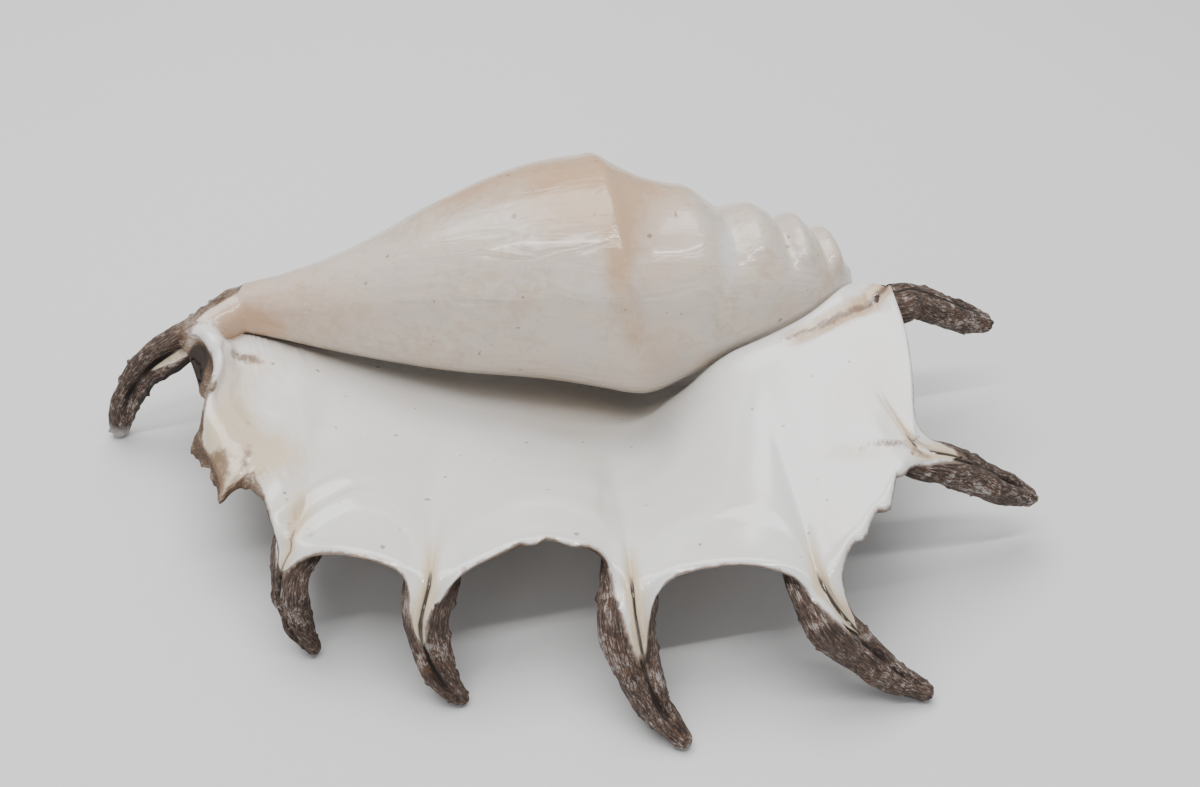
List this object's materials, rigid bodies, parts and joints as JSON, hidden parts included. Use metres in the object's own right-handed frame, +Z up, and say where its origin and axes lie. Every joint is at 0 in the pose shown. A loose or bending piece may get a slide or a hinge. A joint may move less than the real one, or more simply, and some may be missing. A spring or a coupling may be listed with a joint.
{
  "type": "spider conch shell",
  "caption": "Large spider conch shell lying on its back, glazed mouth side up, with a flared lip, long curved hollow spines and a bent siphon spout.",
  "frame": {"origin": "on the surface the shell lies on, below the middle of its box", "axes": "+X along the shell from the siphon spout to the spire, -Y towards the flared lip and its spines, +Z up out of the mouth side"},
  "size_m": [0.305, 0.1982, 0.0891],
  "materials": {
    "shell": "porcelain-smooth cream white glaze inside, with rough brown bark-like spines and back"
  },
  "bodies": {
    "root": {"shell": "shell"}
  },
  "joints": []
}
